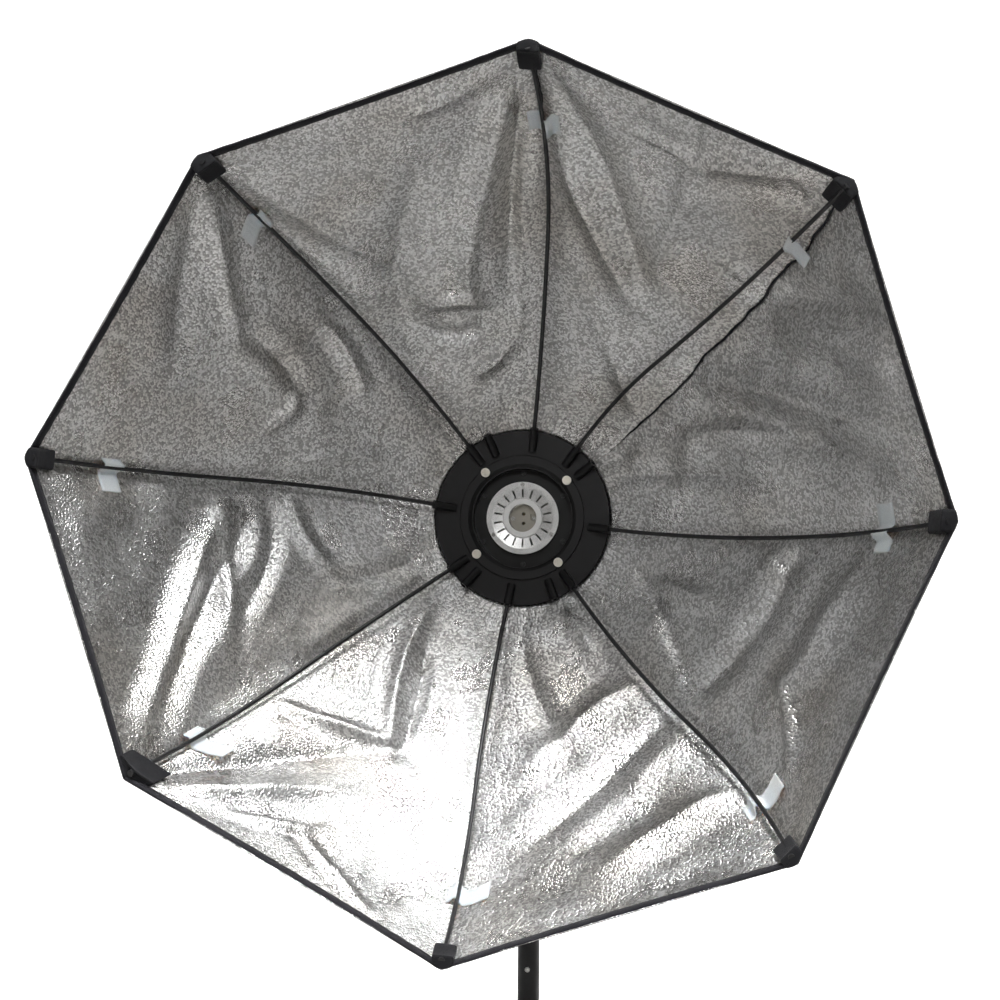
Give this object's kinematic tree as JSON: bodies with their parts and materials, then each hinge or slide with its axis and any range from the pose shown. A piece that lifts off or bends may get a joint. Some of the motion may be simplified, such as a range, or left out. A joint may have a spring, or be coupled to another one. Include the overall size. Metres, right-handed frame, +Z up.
{
  "type": "studio softbox",
  "caption": "Octagonal fabric softbox on a speed ring, carried by a vented lamp head with a tilting yoke on the top section of a light stand.",
  "frame": {"origin": "centre of the stand tube's lower end", "axes": "+Z up along the stand tube; the open front of the softbox faces -Y, so the lamp axis runs along Y; +X is to the right as seen from the front"},
  "size_m": [0.806, 0.4335, 0.955],
  "materials": {
    "black_steel": "satin black powder coat",
    "cast_black": "fine-textured black casting",
    "black_enamel": "semi-gloss black enamel",
    "bright_steel": "zinc-plated steel",
    "plated_screw": "warm bright plated steel",
    "dark_screw": "blackened steel",
    "silver_disc": "satin white-silver aluminium",
    "white_ceramic": "glazed white ceramic",
    "cream_ceramic": "unglazed cream ceramic",
    "brass": "nickel-flashed brass",
    "lead_sleeve": "woven glass sleeve",
    "black_plastic": "fine matt moulded",
    "gloss_black": "moulded gloss",
    "rod_black": "black lacquered spring rod",
    "silver_fabric": "pebbled silver-coated lining, black outside",
    "black_fabric": "black nylon",
    "black_elastic": "ribbed elastic",
    "white_tape": "white hook-and-loop tape"
  },
  "bodies": {
    "stand": {"stand_tube": "black_steel", "tube_end_bushing": "black_plastic", "stand_spigot": "bright_steel", "tube_rivet": "bright_steel"},
    "bracket": {"stand_receptacle": "cast_black", "yoke": "black_steel", "yoke_bolt": "bright_steel", "pivot_washers": "black_plastic"},
    "stand_clamp": {"stand_clamp_knob": "black_plastic"},
    "head": {"lamp_housing": "black_steel", "pivot_screw": "bright_steel", "front_bezel": "black_enamel", "bezel_screws": "dark_screw", "vented_disc": "silver_disc", "disc_screws": "bright_steel", "ceramic_collar": "white_ceramic", "lamp_base": "cream_ceramic", "base_screws": "bright_steel", "pin_contacts": "brass", "lamp_carrier": "bright_steel", "terminal_block": "cream_ceramic", "inner_leads": "lead_sleeve", "rear_cover": "black_plastic", "cover_screws": "dark_screw", "mains_inlet": "gloss_black", "inlet_pins": "brass", "switch_frame": "gloss_black"},
    "tilt_lock": {"tilt_lock_knob": "black_plastic"},
    "rocker": {"switch_rocker": "gloss_black"},
    "softbox": {"speed_ring_plate": "black_enamel", "ring_retainer": "black_steel", "plate_screws": "plated_screw", "neck_sleeve": "black_fabric", "neck_elastic": "black_elastic", "rod_top": "rod_black", "rod_upper_right": "rod_black", "rod_right": "rod_black", "rod_lower_right": "rod_black", "rod_bottom": "rod_black", "rod_lower_left": "rod_black", "rod_left": "rod_black", "rod_upper_left": "rod_black", "panel_top_right": "silver_fabric", "panel_right_upper": "silver_fabric", "panel_right_lower": "silver_fabric", "panel_bottom_right": "silver_fabric", "panel_bottom_left": "silver_fabric", "panel_left_lower": "silver_fabric", "panel_left_upper": "silver_fabric", "panel_top_left": "silver_fabric", "corner_pockets": "black_fabric", "rod_tip_caps": "black_plastic", "rod_ties": "white_tape", "rim_binding": "black_fabric"}
  },
  "joints": [
    {"name": "pan", "type": "hinge", "parent": "stand", "child": "bracket", "pos_m": [0, 0, 0.42], "axis": [0, 0, 1], "continuous": true},
    {"name": "stand_clamp_turn", "type": "hinge", "parent": "bracket", "child": "stand_clamp", "pos_m": [0.017, 0, 0.414], "axis": [1, 0, 0], "range_deg": [0, 360]},
    {"name": "tilt", "type": "hinge", "parent": "bracket", "child": "head", "pos_m": [0, 0, 0.56], "axis": [1, 0, 0], "range_deg": [-80, 28]},
    {"name": "tilt_lock_turn", "type": "hinge", "parent": "head", "child": "tilt_lock", "pos_m": [0.067, 0, 0.56], "axis": [1, 0, 0], "range_deg": [0, 360]},
    {"name": "power_switch", "type": "hinge", "parent": "head", "child": "rocker", "pos_m": [0, 0.061, 0.5795], "axis": [1, 0, 0], "range_deg": [0, 24]},
    {"name": "ring_turn", "type": "hinge", "parent": "head", "child": "softbox", "pos_m": [0, -0.08, 0.56], "axis": [0, -1, 0], "continuous": true}
  ]
}
